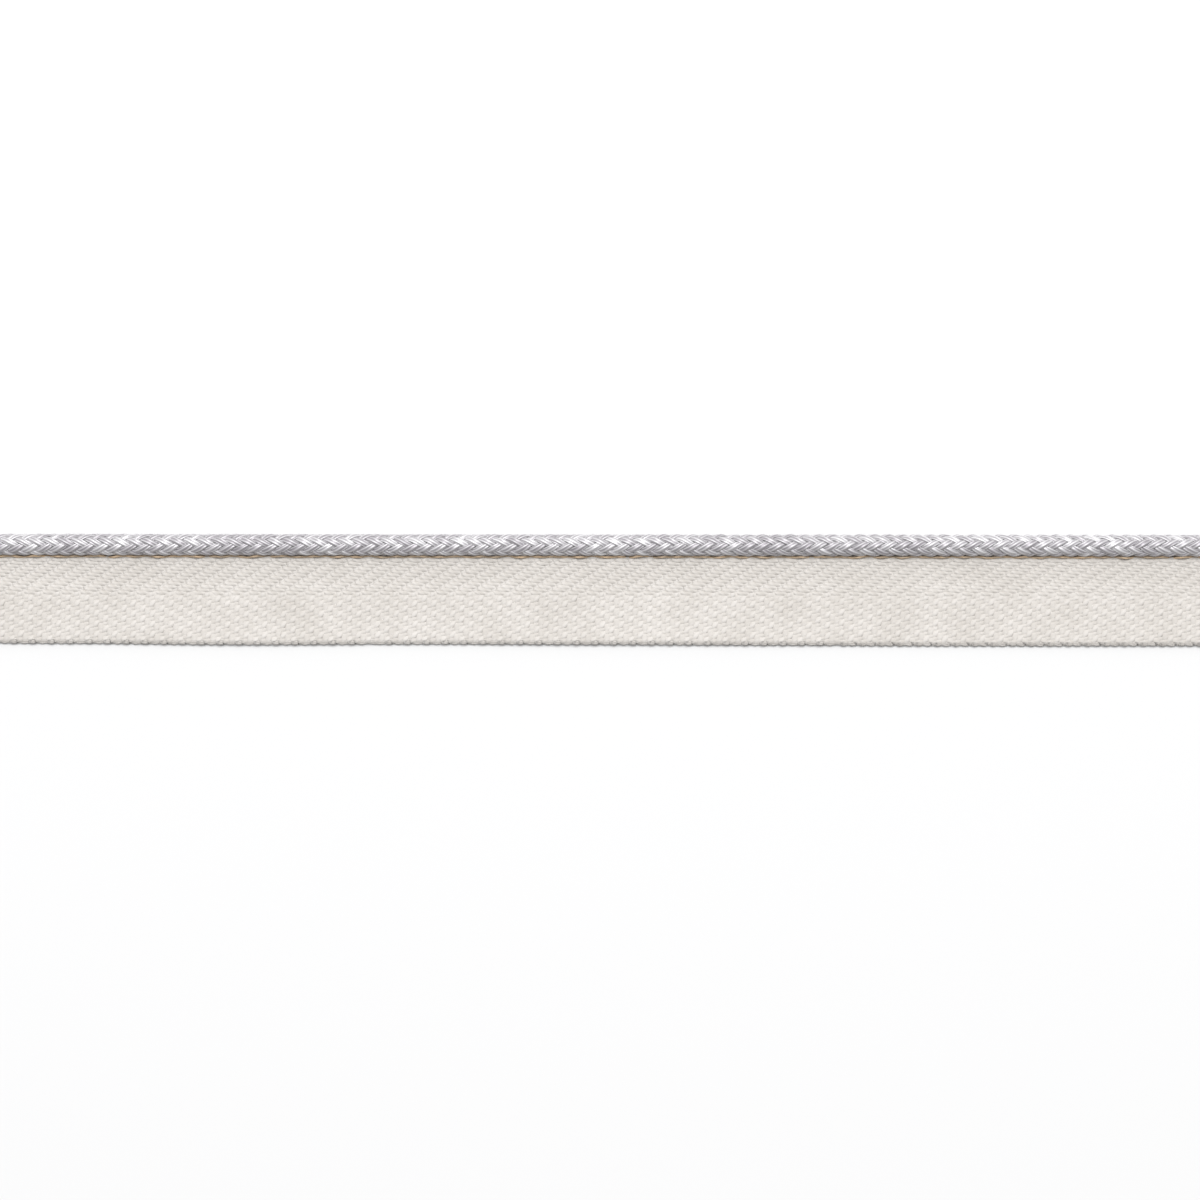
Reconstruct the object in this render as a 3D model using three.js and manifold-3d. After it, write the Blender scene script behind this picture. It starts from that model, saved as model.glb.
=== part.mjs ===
// A straight cut length of piping trim, lying flat. A round braided cord runs along the edge of a
// herringbone woven tape, which is its sewing flange. The tape's edge is sewn to the cord's side.
// Millimetres. +X runs along the trim, +Y across it towards the cord, and +Z up from the surface
// that both lie on. The origin is the middle of the trim's footprint.
import * as THREE from "three";
import { mergeVertices } from "three/addons/utils/BufferGeometryUtils.js";
import Module from "manifold-3d";

// Driving dimensions
const TRIM_LENGTH = 200;
const CORD_DIAMETER = 3;
const TAPE_WIDTH = 12.6;
const SEAM_GAP = 0.3; // between the cord and the tape's edge that is sewn to it

// Braid of the cord: columns of leaning strand floats, which meet their neighbours in a chevron
const BRAID_COLUMNS = 8;
const BRAID_PITCH = 2; // from one float to the next along a column
const FLOAT_RISE = 0.12; // crown of a float, above the mean surface
const FURROW_DROP = 0.16; // furrow between two floats of a column
const TUCK_DROP = 0.06; // where floats of two columns tuck under each other
const CUT_ALLOWANCE = 2 * BRAID_PITCH; // braid past each end, trimmed off square

// Steps of the meshes
const ROWS_PER_FLOAT = 2;
const SPOKES_PER_COLUMN = 2;
const TAPE_STEP = 2.5;
const WELD = 1e-4; // points nearer to each other than this are one

const CORD_RADIUS = CORD_DIAMETER / 2;
const CROWN_RADIUS = CORD_RADIUS + FLOAT_RISE;
const CORD_AXIS_Z = CROWN_RADIUS;

// How the trim lies, at places along it. sway moves it across, wider adds to the tape's width,
// lift raises the free selvedge off the surface, and turn is the cord's own slow twist in degrees.
const LIE = [
  { x: -100, sway: 0.1, wider: -0.22, lift: 0.02, turn: -6 },
  { x: -75, sway: 0.08, wider: -0.1, lift: 0, turn: -5 },
  { x: -50, sway: 0.05, wider: 0.06, lift: 0.08, turn: -4 },
  { x: -25, sway: 0.02, wider: -0.06, lift: 0.02, turn: -2 },
  { x: 0, sway: 0, wider: -0.02, lift: 0.12, turn: 0 },
  { x: 25, sway: -0.03, wider: 0.04, lift: 0.06, turn: 12 },
  { x: 50, sway: -0.05, wider: 0.12, lift: 0, turn: 24 },
  { x: 75, sway: -0.08, wider: 0.08, lift: 0.05, turn: 33 },
  { x: 100, sway: -0.08, wider: 0.1, lift: 0.02, turn: 38 },
];

// Section of the tape, from its free selvedge to the edge that is sewn to the cord, which lifts it.
// inward is the distance from the selvedge, top and under are heights of the two faces.
const SECTION = [
  { inward: 0, top: 0.68, under: 0.24 },
  { inward: 0.2, top: 0.9, under: 0.08 },
  { inward: 0.55, top: 1, under: 0 },
  { inward: 1.1, top: 0.95, under: 0 },
  { inward: 4.2, top: 0.97, under: 0 },
  { inward: 6.9, top: 0.97, under: 0 },
  { inward: 7.35, top: 0.9, under: 0 },
  { inward: 7.8, top: 0.97, under: 0 },
  { inward: 9.6, top: 0.97, under: 0 },
  { inward: 11.2, top: 1.1, under: 0.12 },
  { inward: 12.2, top: 1.22, under: 0.28 },
  { inward: 12.6, top: 1.06, under: 0.5 },
];
const EDGE_BULGE = 0.08; // how far the middle of each edge stands out from its two corners
const LIFT_REACH = 4; // how far in from the selvedge its lift is felt

// The sewn edge's upper corner stays clear of the cord's crowns, and the trim lies evenly about y = 0
const SEWN_TOP = SECTION[SECTION.length - 1].top;
const EDGE_OFF_AXIS = Math.sqrt((CROWN_RADIUS + SEAM_GAP) ** 2 - (CORD_AXIS_Z - SEWN_TOP) ** 2);
const CORD_AXIS_Y = (TAPE_WIDTH + EDGE_OFF_AXIS - CROWN_RADIUS) / 2;
const SEWN_EDGE_Y = CORD_AXIS_Y - EDGE_OFF_AXIS;

const wasm = await Module();
wasm.setup();

/** Value of a column of the LIE table at x, eased between its rows. */
function lieAt(column, x) {
  const last = LIE.length - 1;
  const next = THREE.MathUtils.clamp(
    LIE.findIndex((row) => row.x >= x),
    1,
    last,
  );
  const from = LIE[next - 1];
  const to = LIE[next];
  const share = THREE.MathUtils.smoothstep(x, from.x, to.x);
  return THREE.MathUtils.lerp(from[column], to[column], share);
}

/** Moves every point of a geometry to where place(point) puts it. */
function movePoints(geometry, place) {
  const points = geometry.getAttribute("position");
  const point = new THREE.Vector3();
  for (let i = 0; i < points.count; i += 1) {
    place(point.fromBufferAttribute(points, i));
    points.setXYZ(i, point.x, point.y, point.z);
  }
  return geometry;
}

/** A closed geometry as a solid that can be cut. */
function solidOf(geometry) {
  const bare = geometry.clone();
  bare.deleteAttribute("normal");
  bare.deleteAttribute("uv");
  const merged = mergeVertices(bare, WELD);
  return new wasm.Manifold(
    new wasm.Mesh({
      numProp: 3,
      vertProperties: merged.getAttribute("position").array,
      triVerts: new Uint32Array(merged.index.array),
    }),
  );
}

/** A solid back as a geometry. */
function geometryOf(solid) {
  const mesh = solid.getMesh();
  const geometry = new THREE.BufferGeometry();
  geometry.setAttribute("position", new THREE.BufferAttribute(mesh.vertProperties, 3));
  geometry.setIndex(new THREE.BufferAttribute(mesh.triVerts, 1));
  geometry.computeVertexNormals();
  return geometry;
}

/**
 * The braided cord along X, about its own axis. The points of a cylinder are moved on to the
 * braid: each row of points runs in a zigzag along the floats, rows lie by turns on crowns and
 * in furrows, and the columns lean by turns to one side and the other.
 */
function cordGeometry() {
  const rowStep = BRAID_PITCH / ROWS_PER_FLOAT;
  const spokes = BRAID_COLUMNS * SPOKES_PER_COLUMN;
  const spokeAngle = (2 * Math.PI) / spokes;
  const braidLength = TRIM_LENGTH + 2 * CUT_ALLOWANCE;
  const braid = new THREE.CylinderGeometry(
    CORD_RADIUS,
    CORD_RADIUS,
    braidLength,
    spokes,
    braidLength / rowStep,
  ).rotateZ(-Math.PI / 2);
  movePoints(braid, (point) => {
    const onAxis = Math.hypot(point.y, point.z) < CORD_RADIUS / 2;
    if (onAxis) return;
    const angle = Math.atan2(point.y, point.z);
    const spoke = Math.round(angle / spokeAngle);
    const row = Math.round((point.x + braidLength / 2) / rowStep);
    const midColumn = spoke % SPOKES_PER_COLUMN !== 0;
    const column = Math.floor(spoke / SPOKES_PER_COLUMN);
    const crown = (row + column) % ROWS_PER_FLOAT === 0;
    const rise = crown ? FLOAT_RISE : -FURROW_DROP;
    const radius = CORD_RADIUS + (midColumn ? rise : -TUCK_DROP);
    const lean = (BRAID_PITCH / 2) * Math.cos((Math.PI * spoke) / SPOKES_PER_COLUMN);
    const turned = angle + THREE.MathUtils.degToRad(lieAt("turn", point.x));
    point.set(
      point.x + lean,
      radius * Math.sin(turned) + lieAt("sway", point.x),
      radius * Math.cos(turned),
    );
  });
  const trim = new THREE.BoxGeometry(TRIM_LENGTH, 4 * CORD_DIAMETER, 4 * CORD_DIAMETER);
  return geometryOf(solidOf(braid).intersect(solidOf(trim)));
}

/** The tape, from a slab whose points are moved on to its section and the way that it lies. */
function tapeGeometry() {
  const lastRow = SECTION.length - 1;
  const slab = new THREE.BoxGeometry(
    TRIM_LENGTH,
    lastRow,
    2,
    TRIM_LENGTH / TAPE_STEP,
    lastRow,
    2,
  );
  return movePoints(slab, (point) => {
    const index = Math.round(point.y + lastRow / 2);
    const row = SECTION[index];
    const atEdge = index === 0 || index === lastRow;
    const midHeight = Math.round(point.z) === 0;
    const bulge = atEdge && midHeight ? EDGE_BULGE * Math.sign(point.y) : 0;
    const width = TAPE_WIDTH + lieAt("wider", point.x);
    const outward = TAPE_WIDTH - row.inward;
    const felt = 1 - THREE.MathUtils.smoothstep(row.inward, 0, LIFT_REACH);
    point.y =
      SEWN_EDGE_Y - (outward * width) / TAPE_WIDTH + lieAt("sway", point.x) + bulge;
    point.z =
      THREE.MathUtils.lerp(row.under, row.top, (point.z + 1) / 2) +
      felt * lieAt("lift", point.x);
  });
}

/** A named mesh with its own woven or braided finish. */
function piece(name, geometry, colour, roughness) {
  const material = new THREE.MeshStandardMaterial({ color: colour, roughness, metalness: 0 });
  const mesh = new THREE.Mesh(geometry, material);
  mesh.name = name;
  return mesh;
}

const trim = new THREE.Group();

const cord = piece("cord", cordGeometry(), 0xc9c9ce, 0.38);
cord.position.set(0, CORD_AXIS_Y, CORD_AXIS_Z);
trim.add(cord);

const tape = piece("tape", tapeGeometry(), 0xe4dfd9, 0.9);
trim.add(tape);

// The sway and the selvedge leave the footprint a little off the origin, so it is centred here
const centre = new THREE.Box3().setFromObject(trim).getCenter(new THREE.Vector3());
trim.children.forEach((mesh) => mesh.position.setY(mesh.position.y - centre.y));

export default trim;
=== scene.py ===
"""A straight cut length of piping trim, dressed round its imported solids.

A round braided cord is sewn by its side to a herringbone tape, which is its sewing flange.
Each yarn of the braid and of the weave is a tube of its own, laid along its path over and under
the others. Lengths are in millimetres and become metres where a mesh is written.
+X runs along the trim, +Y across it towards the cord, and +Z up.
"""

import logging
import math
from dataclasses import dataclass, field, replace
from enum import Enum

import bmesh
import bpy
import numpy as np
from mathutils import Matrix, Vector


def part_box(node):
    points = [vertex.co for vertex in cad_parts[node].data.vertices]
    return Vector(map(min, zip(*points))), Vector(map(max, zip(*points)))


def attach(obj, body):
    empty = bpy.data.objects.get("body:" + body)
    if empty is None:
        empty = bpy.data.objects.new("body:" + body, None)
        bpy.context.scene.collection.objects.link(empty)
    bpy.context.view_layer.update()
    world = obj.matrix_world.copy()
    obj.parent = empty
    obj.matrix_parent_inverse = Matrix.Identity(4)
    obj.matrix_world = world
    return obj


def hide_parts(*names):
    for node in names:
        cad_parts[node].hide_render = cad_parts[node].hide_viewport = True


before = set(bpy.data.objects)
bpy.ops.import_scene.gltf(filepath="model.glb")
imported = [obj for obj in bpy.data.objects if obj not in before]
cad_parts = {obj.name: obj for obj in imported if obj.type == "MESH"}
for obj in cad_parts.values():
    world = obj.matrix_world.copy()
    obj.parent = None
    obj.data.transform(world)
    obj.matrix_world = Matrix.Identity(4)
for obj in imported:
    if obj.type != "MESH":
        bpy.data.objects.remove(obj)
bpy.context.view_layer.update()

MM = 0.001
UP = np.array([0.0, 0.0, 1.0])
SEED = 41
BODY = "root"
log = logging.getLogger("piping_trim")


@dataclass(frozen=True)
class LieRow:
    """How the trim lies at one place along it, as in the part's source.

    sway moves it across, wider adds to the tape's width, lift raises the free selvedge, and turn
    is the cord's own slow twist in degrees.
    """

    x: float
    sway: float
    wider: float
    lift: float
    turn: float


LIE = (
    LieRow(x=-100, sway=0.10, wider=-0.22, lift=0.02, turn=-6),
    LieRow(x=-75, sway=0.08, wider=-0.10, lift=0.00, turn=-5),
    LieRow(x=-50, sway=0.05, wider=0.06, lift=0.08, turn=-4),
    LieRow(x=-25, sway=0.02, wider=-0.06, lift=0.02, turn=-2),
    LieRow(x=0, sway=0.00, wider=-0.02, lift=0.12, turn=0),
    LieRow(x=25, sway=-0.03, wider=0.04, lift=0.06, turn=12),
    LieRow(x=50, sway=-0.05, wider=0.12, lift=0.00, turn=24),
    LieRow(x=75, sway=-0.08, wider=0.08, lift=0.05, turn=33),
    LieRow(x=100, sway=-0.08, wider=0.10, lift=0.02, turn=38),
)


def lie_at(column: str, x: np.ndarray) -> np.ndarray:
    """Value of one column of the lie at places along the trim.

    Args:
        column: A field of LieRow.
        x: Places along the trim, in mm.

    Returns:
        The column's values there, eased between the rows.
    """
    places = np.array([row.x for row in LIE], float)
    values = np.array([getattr(row, column) for row in LIE], float)
    after = np.clip(np.searchsorted(places, x), 1, len(LIE) - 1)
    share = np.clip((x - places[after - 1]) / (places[after] - places[after - 1]), 0, 1)
    share = share * share * (3 - 2 * share)
    return values[after - 1] + (values[after] - values[after - 1]) * share


@dataclass(frozen=True)
class SectionRow:
    """Heights of the tape's two faces at a distance in from its free selvedge."""

    inward: float
    top: float
    under: float


# Section of the woven tape, from its free selvedge to the edge that is sewn to the cord
SECTION = (
    SectionRow(inward=0, top=0.48, under=0.04),
    SectionRow(inward=0.12, top=0.7, under=0.01),
    SectionRow(inward=0.32, top=0.9, under=0),
    SectionRow(inward=0.6, top=0.97, under=0),
    SectionRow(inward=3.9, top=0.97, under=0),
    SectionRow(inward=6.6, top=0.97, under=0),
    SectionRow(inward=7.05, top=0.96, under=0),
    SectionRow(inward=7.5, top=0.97, under=0),
    SectionRow(inward=9.3, top=0.97, under=0),
    SectionRow(inward=11.1, top=1.12, under=0.12),
    SectionRow(inward=12.15, top=1.34, under=0.28),
    SectionRow(inward=12.6, top=1.26, under=0.5),
)
LIFT_REACH = 4.0  # how far in from the selvedge its lift is felt

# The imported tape's sewn edge: its bulge, its upper corner's height, and its gap to the cord
EDGE_BULGE = 0.08
PACKED_SEWN_TOP = 1.06
SEAM_GAP = 0.3


@dataclass(frozen=True)
class Layout:
    """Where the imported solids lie, from which every yarn takes its place.

    Attributes:
        length: Length of the trim.
        tape_width: Width that the tape was woven to.
        sewn_edge: Y of the tape's edge that is sewn to the cord, before the sway.
        axis_y: Y of the cord's axis, before the sway.
        axis_z: Height of the cord's axis.
    """

    length: float
    tape_width: float
    sewn_edge: float
    axis_y: float
    axis_z: float

    @classmethod
    def from_frame(cls) -> "Layout":
        """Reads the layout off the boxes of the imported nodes."""
        cord_low, cord_high = (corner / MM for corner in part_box("cord"))
        tape_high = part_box("tape")[1] / MM
        most_sway = max(row.sway for row in LIE)
        packed_edge = tape_high.y - most_sway - EDGE_BULGE
        crown_radius = (cord_high.z - cord_low.z) / 2
        below_axis = crown_radius - PACKED_SEWN_TOP
        off_axis = math.sqrt((crown_radius + SEAM_GAP) ** 2 - below_axis**2)
        cord_settles = 0.03  # the strands' crowns stand out that much less than the solid's
        return cls(
            length=cord_high.x - cord_low.x,
            tape_width=SECTION[-1].inward,
            sewn_edge=packed_edge + SEAM_GAP,
            axis_y=packed_edge + off_axis,
            axis_z=(cord_low.z + cord_high.z) / 2 - cord_settles,
        )

    def on_tape(self, x: np.ndarray, inward: np.ndarray, height: np.ndarray) -> np.ndarray:
        """Points of the tape from places in its weave.

        Args:
            x: Places along the trim.
            inward: Distances in from the free selvedge, on a tape of its woven width.
            height: From -1 on the under face to 1 on the top.

        Returns:
            The points, one row of x, y and z each, in mm.
        """
        rows = [row.inward for row in SECTION]
        top = np.interp(inward, rows, [row.top for row in SECTION])
        under = np.interp(inward, rows, [row.under for row in SECTION])
        width = self.tape_width + lie_at("wider", x)
        outward = self.tape_width - inward
        felt = np.clip(inward / LIFT_REACH, 0, 1)
        felt = 1 - felt * felt * (3 - 2 * felt)
        y = self.sewn_edge - outward * width / self.tape_width + lie_at("sway", x)
        z = under + (top - under) * (height + 1) / 2 + felt * lie_at("lift", x)
        return np.stack([x, y, z], axis=-1)

    def on_cord(self, x: np.ndarray, angle: np.ndarray, radius: np.ndarray) -> np.ndarray:
        """Points about the cord's axis.

        Args:
            x: Places along the trim.
            angle: Angles from straight up towards +Y, before the cord's own twist, in radians.
            radius: Distances from the axis.

        Returns:
            The points, one row of x, y and z each, in mm.
        """
        turned = angle + np.radians(lie_at("turn", x))
        y = self.axis_y + lie_at("sway", x) + radius * np.sin(turned)
        return np.stack([x, y, self.axis_z + radius * np.cos(turned)], axis=-1)


@dataclass
class Yarns:
    """A family of yarns of one kind, gathered into one mesh.

    Each yarn is a closed tube whose rings follow a path. All yarns of a family have as many rings,
    so one straight tube is made with mesh operators, repeated, and its rings are moved.

    Attributes:
        name: Name of the piece.
        rings: Faces along each yarn.
        sides: Faces round each yarn.
        flatness: 2 is a round section, and more is squarer.
        paths: Points of each yarn that was added, ring by ring, in mm.
        tones: Shade of each yarn.
        twists: How far the plies of each yarn have wound at each ring.
    """

    name: str
    rings: int
    sides: int
    flatness: float = 2.0
    paths: list[np.ndarray] = field(default_factory=list)
    tones: list[float] = field(default_factory=list)
    twists: list[np.ndarray] = field(default_factory=list)

    def add(
        self,
        centre: np.ndarray,
        up: np.ndarray,
        half_width: np.ndarray,
        half_height: np.ndarray,
        wrap: float = 0.0,
        tone: float = 0.5,
        twist: np.ndarray | None = None,
    ) -> None:
        """Adds a yarn.

        Args:
            centre: Points of its path, one for each ring's edge, in mm.
            up: Direction in which its height is measured, one for all points or one for each.
            half_width: Half its width at each point.
            half_height: Half its height at each point.
            wrap: How far its sides bend down round what it lies on, in 1/mm.
            tone: Shade of the yarn, from 0 to 1.
            twist: How far its plies have wound at each point, in plies, or None for untwisted.
        """
        along = np.gradient(centre, axis=0)
        along /= np.linalg.norm(along, axis=1, keepdims=True)
        across = np.cross(up, along)
        across /= np.linalg.norm(across, axis=1, keepdims=True)
        upright = np.cross(along, across)
        angle = 2 * np.pi * (np.arange(self.sides) + 0.5) / self.sides - np.pi / 2
        power = 2 / self.flatness
        cosine = np.sign(np.cos(angle)) * np.abs(np.cos(angle)) ** power
        sine = np.sign(np.sin(angle)) * np.abs(np.sin(angle)) ** power
        aside = half_width[:, None] * cosine
        rise = half_height[:, None] * sine - wrap * aside * aside
        ring = aside[:, :, None] * across[:, None, :] + rise[:, :, None] * upright[:, None, :]
        self.paths.append(centre[:, None, :] + ring)
        self.tones.append(tone)
        self.twists.append(np.zeros(len(centre)) if twist is None else twist)

    def _straight(self) -> bpy.types.Mesh:
        """A thin straight closed tube from a grid, with its UV map along and round it."""
        reach = 1 / self.rings
        tube = bmesh.new()
        on_yarn = tube.loops.layers.uv.new("yarn")
        bmesh.ops.create_grid(
            tube, x_segments=self.rings, y_segments=self.sides, size=0.5, calc_uvs=True
        )
        for vert in tube.verts:
            angle = 2 * math.pi * (vert.co.y + 0.5)
            vert.co = (vert.co.x, reach * math.cos(angle), reach * math.sin(angle))
        bmesh.ops.remove_doubles(tube, verts=tube.verts, dist=reach / 10)
        rim = [edge for edge in tube.edges if edge.is_boundary]
        caps = bmesh.ops.holes_fill(tube, edges=rim, sides=0)["faces"]
        for edge in rim:
            edge.smooth = False
        for corner in (corner for cap in caps for corner in cap.loops):
            corner[on_yarn].uv = (corner.vert.co.x + 0.5, 0)
        bmesh.ops.recalc_face_normals(tube, faces=tube.faces)
        mesh = bpy.data.meshes.new(f"{self.name}_straight")
        tube.to_mesh(mesh)
        tube.free()
        return mesh

    def piece(self, material: bpy.types.Material) -> bpy.types.Object:
        """Builds the family.

        Args:
            material: Finish of its yarns.

        Returns:
            The piece, with every yarn on its path.
        """
        straight = self._straight()
        count = len(straight.vertices)
        places = np.empty(count * 3, np.float32)
        straight.vertices.foreach_get("co", places)
        places = places.reshape(-1, 3)
        ring = np.rint((places[:, 0] + 0.5) * self.rings).astype(int)
        angle = np.arctan2(places[:, 2], places[:, 1])
        side = np.rint(angle / (2 * np.pi) * self.sides).astype(int) % self.sides
        bundle = bmesh.new()
        for _ in self.paths:
            bundle.from_mesh(straight)
        mesh = bpy.data.meshes.new(self.name)
        bundle.to_mesh(mesh)
        bundle.free()
        bpy.data.meshes.remove(straight)
        moved = np.concatenate([path[ring, side] for path in self.paths]) * MM
        mesh.vertices.foreach_set("co", moved.astype(np.float32).ravel())
        shade = mesh.attributes.new("yarn_tone", "FLOAT", "POINT")
        shade.data.foreach_set("value", np.repeat(self.tones, count).astype(np.float32))
        wound = mesh.attributes.new("ply_twist", "FLOAT", "POINT")
        turns = np.concatenate([twist[ring] for twist in self.twists])
        wound.data.foreach_set("value", turns.astype(np.float32))
        mesh.shade_smooth()
        mesh.materials.append(material)
        mesh.update()
        made = bpy.data.objects.new(self.name, mesh)
        bpy.context.scene.collection.objects.link(made)
        return made


@dataclass(frozen=True)
class Wander:
    """A slow random wander along a yarn.

    Attributes:
        most: Rough size of it.
        length: Rough length of one wander, in mm.
    """

    most: float
    length: float

    def along(self, x: np.ndarray, rng: np.random.Generator) -> np.ndarray:
        """Draws one.

        Args:
            x: Places along the yarn, in mm.
            rng: Source of its waves.

        Returns:
            The wander at each place, of both signs.
        """
        slow, fast, count = 0.6, 1.6, 3
        waves = rng.uniform([slow, 0], [fast, math.tau], (count, 2))
        total = sum(np.sin(math.tau * x * rate / self.length + phase) for rate, phase in waves)
        return self.most * (total / count)


class Sockets(Enum):
    """Inputs of the yarn shader that are the same all over a piece."""

    ROUGHNESS = "Roughness"
    SHEEN = "Sheen Weight"
    SHEEN_ROUGHNESS = "Sheen Roughness"
    GLOSS = "Specular IOR Level"
    SATIN = "Metallic"


def linear(colour: tuple[float, float, float]) -> tuple[float, float, float, float]:
    """A colour as Blender's shaders take it.

    Args:
        colour: Red, green and blue as a screen shows them, from 0 to 255.

    Returns:
        The linear colour, with alpha.
    """
    knee, slope, offset, gamma = 0.04045, 12.92, 0.055, 2.4
    shares = [value / 255 for value in colour]
    mixed = [
        share / slope if share <= knee else ((share + offset) / (1 + offset)) ** gamma
        for share in shares
    ]
    return (*mixed, 1.0)


@dataclass(frozen=True)
class YarnFinish:
    """Finish of a yarn, with its plies, the fibres that run along it and a shade of its own.

    Attributes:
        name: Name of the material.
        pale: Colour of the palest yarn.
        deep: Colour of the deepest yarn.
        roughness: How matt it is.
        sheen: Soft glow at its edges.
        gloss: Strength of its highlight.
        satin: How far it mirrors as satin yarn does.
        fibre_pitch: Length of the streaks along the yarn, in mm.
        fibres_per_ply: Streaks across a ply.
        fibre_relief: Height of the fibres, in mm.
        plies: Plies round the yarn.
        ply_relief: Height of the plies, in mm.
        groove_painted_shade: Painted shade between two plies, which makes the colour deeper there.
        fibre_shade: How much of the shade follows the fibres.
        patches_per_m: Scale of the uneven patches of each yarn's shade.
        sheen_roughness: Spread of the sheen.
    """

    name: str
    pale: tuple[float, float, float]
    deep: tuple[float, float, float]
    roughness: float
    sheen: float
    gloss: float
    satin: float
    fibre_pitch: float
    fibres_per_ply: float
    fibre_relief: float
    plies: int
    ply_relief: float
    groove_painted_shade: float
    fibre_shade: float = 0.5
    patches_per_m: float = 180.0
    sheen_roughness: float = 0.5

    def material(self, length: float) -> bpy.types.Material:
        """Makes the material for yarns of one length.

        Args:
            length: Length of each yarn, which its UV map covers, in mm.

        Returns:
            The material.
        """
        made = bpy.data.materials.new(self.name)
        made.use_nodes = True
        nodes, links = made.node_tree.nodes, made.node_tree.links
        shader = next(node for node in nodes if node.type == "BSDF_PRINCIPLED")
        steady = {
            Sockets.ROUGHNESS: self.roughness,
            Sockets.SHEEN: self.sheen,
            Sockets.SHEEN_ROUGHNESS: self.sheen_roughness,
            Sockets.GLOSS: self.gloss,
            Sockets.SATIN: self.satin,
        }
        for socket, value in steady.items():
            shader.inputs[socket.value].default_value = value

        on_yarn = nodes.new("ShaderNodeUVMap")
        on_yarn.uv_map = "yarn"
        apart = nodes.new("ShaderNodeSeparateXYZ")
        links.new(on_yarn.outputs["UV"], apart.inputs["Vector"])
        twist = nodes.new("ShaderNodeAttribute")
        twist.attribute_name = "ply_twist"
        wound = self._mathed(
            made, "MULTIPLY_ADD", apart.outputs["Y"], float(self.plies), twist.outputs["Fac"]
        )
        turned = self._mathed(made, "MULTIPLY", wound, math.tau)
        wave = self._mathed(made, "SINE", turned)
        ridges = self._mathed(made, "MULTIPLY_ADD", wave, 0.5, 0.5)

        along = self._mathed(made, "MULTIPLY", apart.outputs["X"], length / self.fibre_pitch)
        across = self._mathed(made, "MULTIPLY", wound, self.fibres_per_ply)
        lie = nodes.new("ShaderNodeCombineXYZ")
        links.new(along, lie.inputs["X"])
        links.new(across, lie.inputs["Y"])
        fibres = self._noise(made, lie.outputs["Vector"], scale=1, detail=3)

        place = nodes.new("ShaderNodeTexCoord")
        patches = self._noise(made, place.outputs["Object"], scale=self.patches_per_m, detail=2)
        tone = nodes.new("ShaderNodeAttribute")
        tone.attribute_name = "yarn_tone"

        spread = self._mathed(made, "MULTIPLY", tone.outputs["Fac"], patches)
        mottled = self._mathed(made, "MULTIPLY_ADD", fibres, self.fibre_shade, spread)
        # Painted shade: the colour is made deeper in the grooves between the plies, where shade
        # falls, on top of the yarn's own mottled tone.
        ply_groove_painted_shade = self._mathed(made, "MULTIPLY_ADD", ridges, self.groove_painted_shade, -self.groove_painted_shade)
        tone_with_painted_shade = self._mathed(made, "ADD", mottled, ply_groove_painted_shade)
        colour = nodes.new("ShaderNodeMix")
        colour.data_type = "RGBA"
        colour.inputs["A"].default_value = linear(self.deep)
        colour.inputs["B"].default_value = linear(self.pale)
        links.new(tone_with_painted_shade, colour.inputs["Factor"])
        links.new(colour.outputs["Result"], shader.inputs["Base Color"])

        normal = None
        reliefs = (ridges, self.ply_relief), (fibres, self.fibre_relief)
        for height, relief in reliefs:
            bump = nodes.new("ShaderNodeBump")
            bump.inputs["Strength"].default_value = 1
            bump.inputs["Distance"].default_value = relief * MM
            links.new(height, bump.inputs["Height"])
            if normal:
                links.new(normal, bump.inputs["Normal"])
            normal = bump.outputs["Normal"]
        links.new(normal, shader.inputs["Normal"])
        return made

    @staticmethod
    def _noise(
        made: bpy.types.Material, place: bpy.types.NodeSocket, scale: float, detail: float
    ) -> bpy.types.NodeSocket:
        """Adds a noise node.

        Args:
            made: The material.
            place: Where the noise is read.
            scale: Its scale.
            detail: How many finer layers it has.

        Returns:
            Its output, from 0 to 1.
        """
        noise = made.node_tree.nodes.new("ShaderNodeTexNoise")
        noise.inputs["Scale"].default_value = scale
        noise.inputs["Detail"].default_value = detail
        made.node_tree.links.new(place, noise.inputs["Vector"])
        return noise.outputs["Fac"]

    @staticmethod
    def _mathed(
        made: bpy.types.Material, operation: str, *values: bpy.types.NodeSocket | float
    ) -> bpy.types.NodeSocket:
        """Adds a math node.

        Args:
            made: The material.
            operation: What it works out.
            values: Its inputs, as sockets or as numbers.

        Returns:
            Its output.
        """
        node = made.node_tree.nodes.new("ShaderNodeMath")
        node.operation = operation
        for socket, value in zip(node.inputs, values):
            if isinstance(value, float):
                socket.default_value = value
            else:
                made.node_tree.links.new(value, socket)
        return node.outputs["Value"]


COTTON = YarnFinish(
    name="tape_cotton",
    pale=(214, 210, 206),
    deep=(192, 187, 181),
    roughness=0.95,
    sheen=0.08,
    gloss=0.15,
    satin=0.0,
    fibre_pitch=0.9,
    fibres_per_ply=5.0,
    fibre_relief=0.05,
    plies=2,
    ply_relief=0.06,
    groove_painted_shade=0.38,
)
CORD_YARN = YarnFinish(
    name="cord_yarn",
    pale=(246, 246, 247),
    deep=(146, 141, 147),
    roughness=0.42,
    sheen=0.5,
    gloss=0.8,
    satin=0.3,
    fibre_pitch=2.5,
    fibres_per_ply=3.0,
    fibre_relief=0.03,
    plies=6,
    ply_relief=0.06,
    groove_painted_shade=0.5,
)
FILLING = replace(
    CORD_YARN,
    name="cord_filling",
    pale=(206, 203, 206),
    deep=(166, 162, 168),
    roughness=0.8,
    gloss=0.3,
    satin=0.0,
)
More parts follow.
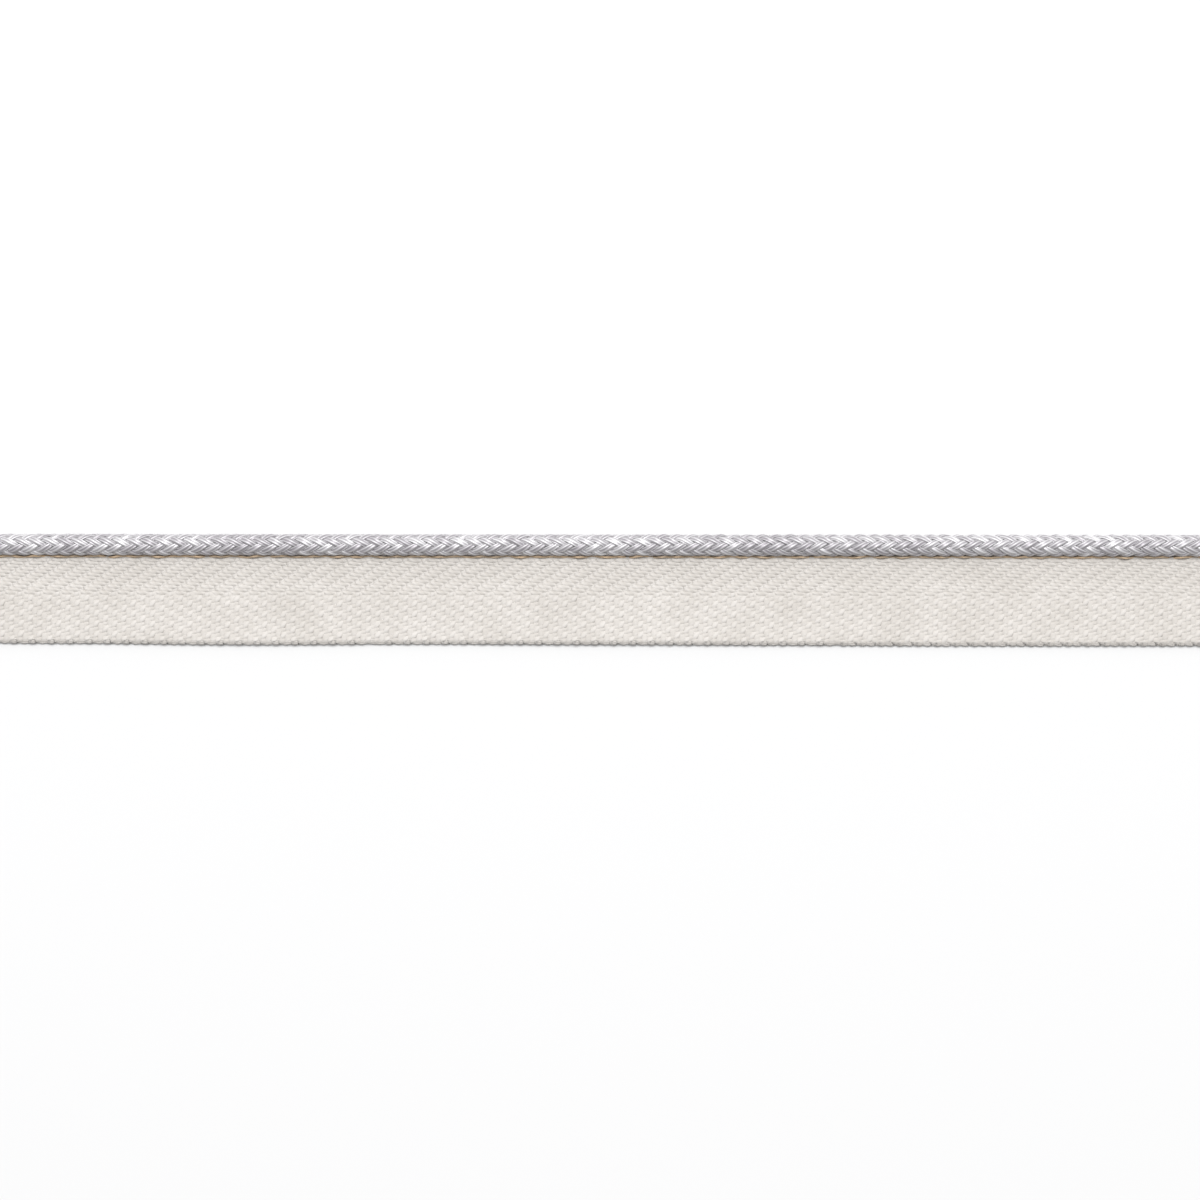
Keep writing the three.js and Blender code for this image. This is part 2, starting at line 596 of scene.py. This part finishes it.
# Thread of the joining stitches. Its warm brown is partly the thread's own tan and partly painted
# warm light, reflected from the tape into the shaded crevice under the cord.
STITCH_YARN_PAINTED_WARMTH = YarnFinish(
    name="stitch_yarn_painted_warmth",
    pale=(218, 188, 152),
    deep=(140, 134, 124),
    roughness=0.7,
    sheen=0.1,
    gloss=0.3,
    satin=0.0,
    fibre_pitch=1.0,
    fibres_per_ply=3.0,
    fibre_relief=0.02,
    plies=2,
    ply_relief=0.03,
    groove_painted_shade=0.3,
)


class Lean(Enum):
    """Way in which the strands of a carrier wind round the cord."""

    BACK = -1
    FORWARD = 1


@dataclass
class BraidedCord:
    """The round braided cord: strands that wind both ways, over two and under two.

    Attributes:
        layout: Where the cord lies.
        pitch: From one float to the next along a column of the braid.
        strands_each_way: Strands that wind each way.
        mean_radius: Radius at which the strands cross.
        crossing_rise: How far a strand rises over, and dips under, the others.
        half_width: Half the width of a strand at the middle of its float.
        tuck_half_width: Half its width where it tucks under.
        half_height: Half the height of a strand.
        core_yarns: Yarns of the filling that lie round its middle one.
        core_yarn_radius: Radius of a yarn of the filling.
        core_packing: Their distance from the middle one, in radii. Under 2 they press in.
        steps_per_float, core_steps_per_float: Rings for each float's pitch.
        sides, core_sides: Faces round a strand and round a yarn of the filling.
        ply_twist_length: Length in which the yarns of a strand wind once round it.
        cut_unevenness: How far a strand may end short of the cut.
        tones, core_tones: Range of the shades of the strands and of the filling.
        aside: Wander of a strand round the cord, in radians. Half of it, in mm, is its rise.
        width_wander, height_wander: Wander of a strand's width and height, as shares.
    """

    layout: Layout
    pitch: float = 2.0
    strands_each_way: int = 8
    mean_radius: float = 1.2
    crossing_rise: float = 0.2
    half_width: float = 0.52
    tuck_half_width: float = 0.38
    half_height: float = 0.19
    core_yarns: int = 6
    core_yarn_radius: float = 0.36
    core_packing: float = math.sqrt(3)
    steps_per_float: int = 8
    core_steps_per_float: int = 2
    sides: int = 10
    core_sides: int = 8
    ply_twist_length: float = 24.0
    cut_unevenness: float = 0.15
    tones: tuple[float, float] = (0.3, 0.9)
    core_tones: tuple[float, float] = (0.4, 1.0)
    aside: Wander = Wander(most=0.04, length=9)
    width_wander: Wander = Wander(most=0.05, length=5)
    height_wander: Wander = Wander(most=0.06, length=4)

    @property
    def turn_per_mm(self) -> float:
        """Angle that a strand winds in one millimetre, in radians."""
        return 2 * math.pi / (self.strands_each_way * self.pitch)

    def strand(
        self, lean: Lean, index: int, rng: np.random.Generator, yarns: Yarns
    ) -> None:
        """Adds one strand to a family.

        Args:
            lean: Way in which it winds.
            index: Which strand of those that wind that way.
            rng: Source of its unevenness.
            yarns: The family.
        """
        half = self.layout.length / 2
        ends = rng.uniform(0, self.cut_unevenness, 2)
        x = np.linspace(-half + ends[0], half - ends[1], yarns.rings + 1)
        start = self.pitch * index + (0 if lean is Lean.BACK else self.pitch / 2)
        quarter = self.pitch * self.turn_per_mm / 2
        angle = lean.value * (self.turn_per_mm * (x - start) - quarter)
        waves_per_turn = self.strands_each_way / 2
        over = -lean.value * np.sin(waves_per_turn * angle)
        radius = self.mean_radius + self.crossing_rise * over
        aside = self.aside.along(x, rng)
        centre = self.layout.on_cord(x, angle + aside, radius + aside / 2)
        up = self.layout.on_cord(x, angle, radius + 1) - self.layout.on_cord(x, angle, radius)
        swell = (over + 1) / 2
        width = self.tuck_half_width + (self.half_width - self.tuck_half_width) * swell
        lean_angle = math.atan(self.mean_radius * self.turn_per_mm)
        wrap = math.cos(lean_angle) ** 2 / (2 * self.mean_radius)
        yarns.add(
            centre,
            up,
            width * (1 + self.width_wander.along(x, rng)),
            self.half_height * (1 + self.height_wander.along(x, rng)),
            wrap=wrap,
            tone=rng.uniform(*self.tones),
            twist=x / self.ply_twist_length + rng.uniform(),
        )

    def core(self, rng: np.random.Generator) -> Yarns:
        """The filling, one yarn with the others round it, which shows at the cut ends.

        Args:
            rng: Source of its unevenness.

        Returns:
            Its family.
        """
        rings = round(self.layout.length / self.pitch * self.core_steps_per_float)
        yarns = Yarns("cord_filling", rings=rings, sides=self.core_sides)
        half = self.layout.length / 2
        radius = np.full(rings + 1, self.core_yarn_radius)
        for index in range(self.core_yarns + 1):
            cut = self.cut_unevenness + rng.uniform(0, self.cut_unevenness, 2)
            x = np.linspace(-half + cut[0], half - cut[1], rings + 1)
            in_middle = index == self.core_yarns
            off_axis = 0 if in_middle else self.core_packing * self.core_yarn_radius
            angle = math.tau * (index / self.core_yarns + x / self.ply_twist_length)
            centre = self.layout.on_cord(x, angle, np.full_like(x, off_axis))
            tone = rng.uniform(*self.core_tones)
            yarns.add(centre, UP, radius, radius, tone=tone, twist=x / self.pitch)
        return yarns

    def build(self) -> list[bpy.types.Object]:
        """Builds the cord.

        Returns:
            Its pieces.
        """
        rng = np.random.default_rng(SEED)
        rings = round(self.layout.length / self.pitch * self.steps_per_float)
        winding = math.hypot(1, self.mean_radius * self.turn_per_mm)
        yarn = CORD_YARN.material(self.layout.length * winding)
        made = []
        for lean in Lean:
            family = Yarns(f"cord_strands_{lean.name.lower()}", rings=rings, sides=self.sides)
            for index in range(self.strands_each_way):
                self.strand(lean, index, rng, family)
            made.append(family.piece(yarn))
        made.append(self.core(rng).piece(FILLING.material(self.layout.length)))
        for piece in made:
            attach(piece, BODY)
            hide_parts("cord")
        return made


@dataclass
class WovenTape:
    """The herringbone tape: ends along it and picks across, whose twill turns at its middle.

    Attributes:
        layout: Where the tape lies.
        pick_pitch: From one pick to the next.
        outer_ends: Ends between the selvedge and the turn of the twill.
        inner_ends: Ends between the turn and the hidden edge.
        turn_inward: How far in from the selvedge the twill turns.
        repeat: Picks after which the weave repeats.
        up_inside: Picks of the repeat over which an end inside the turn shows on top.
        up_outside: The same for an end between the selvedge and the turn.
        arch: How far the outer crossings of a float sag below its middle, as a share.
        end_crimp, pick_crimp: How far they rise and dip, as shares of half the thickness.
        end_height, pick_height: Half their heights, as shares of half the thickness.
        end_fill, pick_fill: Their widths, as shares of their pitches. Past 1 they press together.
        pick_skew: Slant of the picks inside the turn, in degrees.
        end_lean, pick_lean: How far the twist draws the two ends of a float aside, in mm.
        end_plies: Plies that an end winds from pick to pick, and its lead on the end before.
        pick_plies: Plies that a pick winds from end to end, and its lead on the pick before.
        edge_crimp, edge_fill: Crimp and width of the end that forms each edge.
        loop_inset: Where a pick begins to turn, in from the edge.
        loop_depth: How far its turn stands out from there, round the last end.
        loop_spread: Range of the depths of the loops, as shares.
        loop_width: Width of a pick where it turns, as a share.
        widens_from, widens_to: Distances in from an edge between which it reaches its full width.
        least_half_thickness: Half the tape's thickness for the height of a pick, at least.
        steps_per_pick, steps_per_end, steps_per_loop: Rings of an end, a pick and a loop.
        sides, flatness: Faces round a yarn, and how square it is.
        cut_unevenness: How far an end may stop short of the cut.
        end_tones, pick_tones: Range of the shades of the ends and of the runs of weft.
        pick_spacing: Wander of the picks along the trim.
        end_aside, pick_aside: Wander of an end across the tape and of a pick along it.
        end_rise, pick_rise: Wander of their heights, as shares of half the thickness.
        end_width: Wander of an end's width, as a share.
    """

    layout: Layout
    pick_pitch: float = 0.669
    outer_ends: int = 19
    inner_ends: int = 13
    turn_inward: float = 7.05
    repeat: int = 4
    up_inside: tuple[int, ...] = (0, 1, 2)
    up_outside: tuple[int, ...] = (0,)
    arch: float = 0.25
    end_crimp: float = 0.32
    pick_crimp: float = 0.32
    end_height: float = 0.44
    pick_height: float = 0.44
    end_fill: float = 1.75
    pick_fill: float = 1.45
    pick_skew: float = 7.0
    end_lean: float = 0.06
    pick_lean: float = 0.12
    end_plies: tuple[float, float] = (0.5, 0.5)
    pick_plies: tuple[float, float] = (0.25, 0.75)
    edge_crimp: float = 0.08
    edge_fill: float = 1.15
    loop_inset: float = 0.4
    loop_depth: float = 0.18
    loop_spread: tuple[float, float] = (0.6, 1.15)
    loop_width: float = 0.6
    widens_from: float = 0.1
    widens_to: float = 0.5
    least_half_thickness: float = 0.3
    steps_per_pick: int = 3
    steps_per_end: int = 2
    steps_per_loop: int = 6
    sides: int = 6
    flatness: float = 3.2
    cut_unevenness: float = 0.2
    end_tones: tuple[float, float] = (0.4, 1.0)
    pick_tones: tuple[float, float] = (0.5, 0.9)
    pick_spacing: Wander = Wander(most=0.05, length=14)
    end_aside: Wander = Wander(most=0.04, length=5)
    pick_aside: Wander = Wander(most=0.05, length=4)
    end_rise: Wander = Wander(most=0.06, length=3)
    pick_rise: Wander = Wander(most=0.06, length=3)
    end_width: Wander = Wander(most=0.1, length=3)

    def __post_init__(self) -> None:
        """Works out where the ends and picks lie."""
        outer = self.turn_inward / self.outer_ends
        inner = (self.layout.tape_width - self.turn_inward) / self.inner_ends
        pitches = np.array([outer] * self.outer_ends + [inner] * self.inner_ends)
        self.end_pitch = pitches
        self.end_inward = np.cumsum(pitches) - pitches / 2
        self.picks = int(self.layout.length / self.pick_pitch)
        margin = (self.layout.length - (self.picks - 1) * self.pick_pitch) / 2
        rng = np.random.default_rng(SEED + 1)
        self.pick_x = -self.layout.length / 2 + margin + self.pick_pitch * np.arange(self.picks)
        self.pick_x += self.pick_spacing.along(self.pick_x, rng)
        ends = np.arange(self.outer_ends + self.inner_ends)
        inside = ends - self.outer_ends
        past_turn = np.where(inside >= 0, inside + self.repeat // 2, -1 - inside)
        step = (np.arange(self.picks)[:, None] - past_turn[None, :]) % self.repeat
        self.end_is_up = np.where(
            inside >= 0, np.isin(step, self.up_inside), np.isin(step, self.up_outside)
        )

    def _skewed(self, x: np.ndarray, inward: np.ndarray) -> np.ndarray:
        """Places along the trim of points of a pick, which slants inside the turn."""
        inside = np.clip(inward - self.turn_inward, 0, None)
        return x - math.tan(math.radians(self.pick_skew)) * inside

    def _arched(self, side: np.ndarray) -> np.ndarray:
        """Heights of a yarn at its crossings, with its floats arched.

        Args:
            side: 1 where the yarn is on top and -1 where it is underneath.

        Returns:
            The heights, lower at the first and last crossings of a float.
        """
        padded = np.pad(side, 1, mode="edge")
        alike = (padded[:-2] == side).astype(int) + (padded[2:] == side)
        return side * np.where(alike == 1, 1 - self.arch, 1)

    def _leaned(self, side: np.ndarray) -> np.ndarray:
        """How far a yarn is drawn aside at its crossings, so that its floats slant.

        Args:
            side: 1 where the yarn is on top and -1 where it is underneath.

        Returns:
            1 where a float begins, -1 where it ends and 0 elsewhere, and the reverse below.
        """
        padded = np.pad(side, 1, mode="edge")
        begins = (padded[:-2] != side).astype(float)
        ends = (padded[2:] != side).astype(float)
        return side * (begins - ends)

    def end(self, index: int, rng: np.random.Generator, yarns: Yarns) -> None:
        """Adds one end, which runs along the tape.

        Args:
            index: Which end, from the selvedge.
            rng: Source of its unevenness.
            yarns: The family.
        """
        inward = self.end_inward[index]
        crossing = self._skewed(self.pick_x, np.full(self.picks, inward))
        side = np.where(self.end_is_up[:, index], 1.0, -1.0)
        half = self.layout.length / 2
        cut = rng.uniform(0, self.cut_unevenness, 2)
        x = np.linspace(-half + cut[0], half - cut[1], yarns.rings + 1)
        at_edge = index in (0, len(self.end_pitch) - 1)
        crimp, fill = (
            (self.edge_crimp, self.edge_fill) if at_edge else (self.end_crimp, self.end_fill)
        )
        height = crimp * _eased(x, crossing, self._arched(side))
        slant = 1 if index >= self.outer_ends else -1
        lean = 0 if at_edge else slant * self.end_lean
        aside = lean * _eased(x, crossing, self._leaned(side))
        place = inward + aside + self.end_aside.along(x, rng)
        centre = self.layout.on_tape(x, place, height + self.end_rise.along(x, rng))
        thickness = self._half_thickness(place)
        width = self.end_pitch[index] * fill / 2 * (1 + self.end_width.along(x, rng))
        wound = self.end_plies[0] * np.interp(x, crossing, np.arange(self.picks))
        yarns.add(
            centre,
            UP,
            width,
            self.end_height * thickness,
            tone=rng.uniform(*self.end_tones),
            twist=-(wound + self.end_plies[1] * index),
        )

    def _half_thickness(self, inward: np.ndarray) -> np.ndarray:
        """Half the tape's thickness at distances in from its selvedge."""
        rows = [row.inward for row in SECTION]
        return np.interp(inward, rows, [(row.top - row.under) / 2 for row in SECTION])

    def weft(self, first: int, last: int, rng: np.random.Generator, yarns: Yarns) -> None:
        """Adds a run of the weft, which turns back at each edge of the tape.

        Args:
            first: First pick of the run.
            last: The pick after its last one.
            rng: Source of its unevenness.
            yarns: The family.
        """
        stops = self.end_inward.copy()
        stops[0], stops[-1] = self.loop_inset, self.layout.tape_width - self.loop_inset
        steps = np.arange((len(stops) - 1) * self.steps_per_end + 1) / self.steps_per_end
        fine = np.interp(steps, np.arange(len(stops)), stops)
        xs, inwards, heights, twists = [], [], [], []
        ends = np.arange(len(self.end_inward))
        wound = self.pick_plies[0] * np.interp(fine, self.end_inward, ends)
        slant = np.where(ends >= self.outer_ends, 1.0, -1.0)
        for pick in range(first, last):
            side = np.where(self.end_is_up[pick], -1.0, 1.0)
            height = self.pick_crimp * _eased(fine, self.end_inward, self._arched(side))
            aside = self.pick_lean * _eased(fine, self.end_inward, slant * self._leaned(side))
            aside = self.pick_aside.along(fine, rng) + aside
            height = height + self.pick_rise.along(fine, rng)
            x = self._skewed(self.pick_x[pick] + aside, fine)
            back = (pick - first) % 2 == 1
            order = slice(None, None, -1) if back else slice(None)
            xs.append(x[order])
            inwards.append(fine[order])
            heights.append(height[order])
            phase = wound - self.pick_plies[1] * pick
            twists.append(phase[order] + 0.5 if back else -phase)
            if pick == last - 1:
                break
            turn = np.pi * np.arange(1, self.steps_per_loop) / self.steps_per_loop
            following = self._skewed(self.pick_x[pick + 1], inwards[-1][-1])
            middle, reach = (x[order][-1] + following) / 2, (following - x[order][-1]) / 2
            bulge = self.loop_depth * rng.uniform(*self.loop_spread)
            out = -1 if back else 1
            xs.append(middle - reach * np.cos(turn))
            inwards.append(inwards[-1][-1] + out * bulge * np.sin(turn))
            heights.append(np.full(len(turn), height[order][-1]) * np.cos(turn / 2) ** 2)
            twists.append(np.full(len(turn), twists[-1][-1]))
        x, inward, height, twist = map(np.concatenate, (xs, inwards, heights, twists))
        centre = self.layout.on_tape(x, inward, height)
        width = self.pick_pitch * self.pick_fill / 2
        near_edge = np.minimum(inward, self.layout.tape_width - inward)
        widening = (self.widens_from, self.widens_to), (self.loop_width, 1)
        narrow = np.interp(near_edge, *widening)
        thickness = np.maximum(self._half_thickness(inward), self.least_half_thickness)
        thick = self.pick_height * thickness
        tone = rng.uniform(*self.pick_tones)
        yarns.add(centre, UP, width * narrow, thick * narrow, tone=tone, twist=twist)

    def ground(self, material: bpy.types.Material) -> bpy.types.Object:
        """The thin sheet between the yarns' tops and undersides, which closes the weave.

        Args:
            material: Its finish.

        Returns:
            The piece.
        """
        columns, rows = 100, 72
        inset, cut_inset = 0.15, 0.4
        least_half, edge_rise, edge_reach = 0.4, 0.34, 0.8
        turn_rise, turn_reach = 0.22, 0.4
        slab = bmesh.new()
        slab.loops.layers.uv.new("yarn")
        bmesh.ops.create_grid(slab, x_segments=columns, y_segments=rows, size=0.5, calc_uvs=True)
        sheet = bmesh.ops.extrude_face_region(slab, geom=slab.faces[:])
        upper = [item for item in sheet["geom"] if isinstance(item, bmesh.types.BMVert)]
        bmesh.ops.translate(slab, verts=upper, vec=(0, 0, 1))
        bmesh.ops.recalc_face_normals(slab, faces=slab.faces)
        mesh = bpy.data.meshes.new("tape_ground")
        slab.to_mesh(mesh)
        slab.free()
        places = np.empty(len(mesh.vertices) * 3, np.float32)
        mesh.vertices.foreach_get("co", places)
        places = places.reshape(-1, 3).astype(float)
        x = places[:, 0] * (self.layout.length - 2 * cut_inset)
        inward = inset + (places[:, 1] + 0.5) * (self.layout.tape_width - 2 * inset)
        near_edge = np.minimum(inward, self.layout.tape_width - inward)
        half = least_half + edge_rise * np.clip(1 - near_edge / edge_reach, 0, 1)
        half += turn_rise * np.exp(-(((inward - self.turn_inward) / turn_reach) ** 2))
        moved = self.layout.on_tape(x, inward, half * (2 * places[:, 2] - 1)) * MM
        mesh.vertices.foreach_set("co", moved.astype(np.float32).ravel())
        shade = mesh.attributes.new("yarn_tone", "FLOAT", "POINT")
        middle_tone = np.full(len(mesh.vertices), 0.5, np.float32)
        shade.data.foreach_set("value", middle_tone)
        mesh.attributes.new("ply_twist", "FLOAT", "POINT")
        mesh.materials.append(material)
        mesh.update()
        made = bpy.data.objects.new("tape_ground", mesh)
        bpy.context.scene.collection.objects.link(made)
        return made

    def build(self) -> list[bpy.types.Object]:
        """Builds the tape.

        Returns:
            Its pieces, of which the first is the sheet between the yarns.
        """
        rng = np.random.default_rng(SEED + 2)
        length = self.layout.length
        made = [self.ground(COTTON.material(length))]
        rings = self.picks * self.steps_per_pick
        warp_cotton = COTTON.material(length)
        bands = ("selvedge", "middle", "hidden")
        shared_ends = np.array_split(np.arange(len(self.end_pitch)), len(bands))
        for band, ends in zip(bands, shared_ends):
            family = Yarns(f"tape_warp_{band}", rings, self.sides, self.flatness)
            for index in ends:
                self.end(int(index), rng, family)
            made.append(family.piece(warp_cotton))
        runs = ("left", "centre", "right")
        points = (len(self.end_pitch) - 1) * self.steps_per_end + 1
        shared_picks = np.array_split(np.arange(self.picks), len(runs))
        for run, picks in zip(runs, shared_picks):
            rings = len(picks) * points + (len(picks) - 1) * (self.steps_per_loop - 1) - 1
            family = Yarns(f"tape_weft_{run}", rings, self.sides, self.flatness)
            self.weft(int(picks[0]), int(picks[-1]) + 1, rng, family)
            made.append(family.piece(COTTON.material(len(picks) * self.layout.tape_width)))
        for piece in made:
            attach(piece, BODY)
            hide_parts("tape")
        return made


@dataclass
class JoiningStitches:
    """The stitches that hold the tape's edge to the cord's side.

    One thread runs along the crevice on top, and one crosses from tape to cord underneath.

    Attributes:
        layout: Where the trim lies.
        stitch: Length of a stitch.
        half_width, half_height: Half the size of the thread.
        off_axis: How far the upper thread lies from the cord's axis.
        height: Height of the upper thread.
        dip: How far it dips between stitches.
        under_tape: Place of the lower thread on the tape, as distance from the axis and height.
        under_cord: Its place on the cord.
        steps_per_stitch: Rings of the thread for each stitch.
        sides: Faces round the thread.
        spacing: Wander of the stitches along the trim.
        aside, rise: Wander of the upper thread across the crevice and in height.
    """

    layout: Layout
    stitch: float = 2.87
    half_width: float = 0.16
    half_height: float = 0.12
    off_axis: float = 1.67
    height: float = 1.46
    dip: float = 0.34
    under_tape: tuple[float, float] = (2.3, 0.19)
    under_cord: tuple[float, float] = (0.75, 0.12)
    steps_per_stitch: int = 8
    sides: int = 6
    spacing: Wander = Wander(most=0.2, length=20)
    aside: Wander = Wander(most=0.12, length=5)
    rise: Wander = Wander(most=0.22, length=6)

    def build(self) -> bpy.types.Object:
        """Builds the stitches.

        Returns:
            The piece.
        """
        rng = np.random.default_rng(SEED + 3)
        rings = round(self.layout.length / self.stitch * self.steps_per_stitch)
        yarns = Yarns("joining_stitches", rings, self.sides)
        half = self.layout.length / 2 - self.half_width
        x = np.linspace(-half, half, rings + 1)
        axis = self.layout.axis_y + lie_at("sway", x)
        swing = np.cos(math.tau * (x + self.spacing.along(x, rng)) / self.stitch)
        width = np.full_like(x, self.half_width)
        height = np.full_like(x, self.half_height)
        above = axis - self.off_axis + self.aside.along(x, rng)
        rise = self.dip * (swing - 1) / 2 + self.rise.along(x, rng)
        centre = np.stack([x, above, self.height + rise], axis=-1)
        yarns.add(centre, UP, width, height, tone=1.0, twist=-x)
        share = (1 + swing) / 2
        tape, cord = np.array(self.under_tape), np.array(self.under_cord)
        off_axis, low = (tape + (cord - tape) * share[:, None]).T
        centre = np.stack([x, axis - off_axis, low], axis=-1)
        yarns.add(centre, UP, width, height, tone=0.5, twist=-x)
        made = yarns.piece(STITCH_YARN_PAINTED_WARMTH.material(self.layout.length))
        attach(made, BODY)
        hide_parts("cord")
        return made


def _eased(x: np.ndarray, stops: np.ndarray, values: np.ndarray) -> np.ndarray:
    """Values at places, eased in a half wave between the stops.

    Args:
        x: The places.
        stops: Where the values are given, in rising order.
        values: The values at the stops.

    Returns:
        The values at the places.
    """
    after = np.clip(np.searchsorted(stops, x), 1, len(stops) - 1)
    share = np.clip((x - stops[after - 1]) / (stops[after] - stops[after - 1]), 0, 1)
    share = (1 - np.cos(np.pi * share)) / 2
    return values[after - 1] + (values[after] - values[after - 1]) * share


@dataclass
class Studio:
    """The pale floor, the soft light and the camera straight above the trim.

    Attributes:
        layout: Where the trim lies.
        photo_px: Width of the photograph.
        px_per_mm: Scale of the trim in it.
        cord_axis_px: Row of the photograph on which the cord's axis lies.
        lens, sensor: Focal length of the camera and width of its sensor, in mm.
        key_tilt: Angle of the key light from straight above, in degrees.
        key_distance, key_size: Its distance and its width, in m.
        key_power: Its power, in W.
        fill: Strength of the light from all round.
        fill_lean: How much more of it comes from the cord's side, as a share.
        floor_size: Width of the floor, in m.
        paper: Colour of the floor.
        paper_roughness, paper_gloss: How matt the floor is, and how strong its highlight.
    """

    layout: Layout
    photo_px: float = 1200.0
    px_per_mm: float = 7.0
    cord_axis_px: float = 545.2
    lens: float = 100.0
    sensor: float = 36.0
    key_tilt: float = 24.0
    key_distance: float = 1.8
    key_size: float = 1.0
    key_power: float = 30.8
    fill: float = 0.58
    fill_lean: float = 0.65
    floor_size: float = 4.0
    paper: tuple[float, float, float, float] = (0.722, 0.722, 0.724, 1)
    paper_roughness: float = 0.9
    paper_gloss: float = 0.1

    def camera(self) -> None:
        """Looks straight down, with the photograph's frame."""
        view = bpy.data.cameras.new("camera")
        view.lens, view.sensor_width = self.lens, self.sensor
        held = bpy.data.objects.new("camera", view)
        across = self.photo_px / self.px_per_mm
        distance = across * self.lens / self.sensor
        below_axis = (self.photo_px / 2 - self.cord_axis_px) / self.px_per_mm
        held.location = (0, (self.layout.axis_y - below_axis) * MM, distance * MM)
        bpy.context.scene.collection.objects.link(held)
        bpy.context.scene.camera = held

    def lights(self) -> None:
        """A soft key from beyond the cord, and a fill that is stronger from that side."""
        key = bpy.data.lights.new("key", "AREA")
        key.shape, key.size, key.energy = "DISK", self.key_size, self.key_power
        lamp = bpy.data.objects.new("key", key)
        tilt = math.radians(self.key_tilt)
        reach = self.key_distance
        lamp.location = (0, reach * math.sin(tilt), reach * math.cos(tilt))
        lamp.rotation_euler = (-tilt, 0, 0)
        bpy.context.scene.collection.objects.link(lamp)
        world = bpy.data.worlds.new("studio")
        world.use_nodes = True
        nodes, links = world.node_tree.nodes, world.node_tree.links
        sky = nodes.new("ShaderNodeTexCoord")
        apart = nodes.new("ShaderNodeSeparateXYZ")
        links.new(sky.outputs["Generated"], apart.inputs["Vector"])
        strength = nodes.new("ShaderNodeMath")
        strength.operation = "MULTIPLY_ADD"
        links.new(apart.outputs["Y"], strength.inputs[0])
        strength.inputs[1].default_value = self.fill * self.fill_lean
        strength.inputs[2].default_value = self.fill
        nodes["Background"].inputs["Color"].default_value = (1, 1, 1, 1)
        links.new(strength.outputs["Value"], nodes["Background"].inputs["Strength"])
        bpy.context.scene.world = world
        bpy.context.scene.view_settings.view_transform = "Standard"

    def floor(self) -> None:
        """The pale floor."""
        plane = bmesh.new()
        bmesh.ops.create_grid(plane, x_segments=1, y_segments=1, size=self.floor_size / 2)
        mesh = bpy.data.meshes.new("floor")
        plane.to_mesh(mesh)
        plane.free()
        paper = bpy.data.materials.new("floor_paper")
        paper.use_nodes = True
        shader = paper.node_tree.nodes["Principled BSDF"]
        shader.inputs["Base Color"].default_value = self.paper
        shader.inputs["Roughness"].default_value = self.paper_roughness
        shader.inputs["Specular IOR Level"].default_value = self.paper_gloss
        mesh.materials.append(paper)
        made = bpy.data.objects.new("floor", mesh)
        bpy.context.scene.collection.objects.link(made)

    def build(self) -> None:
        """Sets the studio up."""
        self.camera()
        self.lights()
        self.floor()


def main() -> None:
    """Builds the studio and the trim, and reports each piece."""
    logging.basicConfig(level=logging.INFO, format="%(message)s")
    layout = Layout.from_frame()
    log.info("layout: %s", layout)
    Studio(layout).build()
    pieces = BraidedCord(layout).build()
    pieces += WovenTape(layout).build()
    pieces.append(JoiningStitches(layout).build())
    for piece in pieces:
        piece.data.calc_loop_triangles()
        log.info("%s: %d triangles", piece.name, len(piece.data.loop_triangles))


if __name__ == "__main__":
    main()
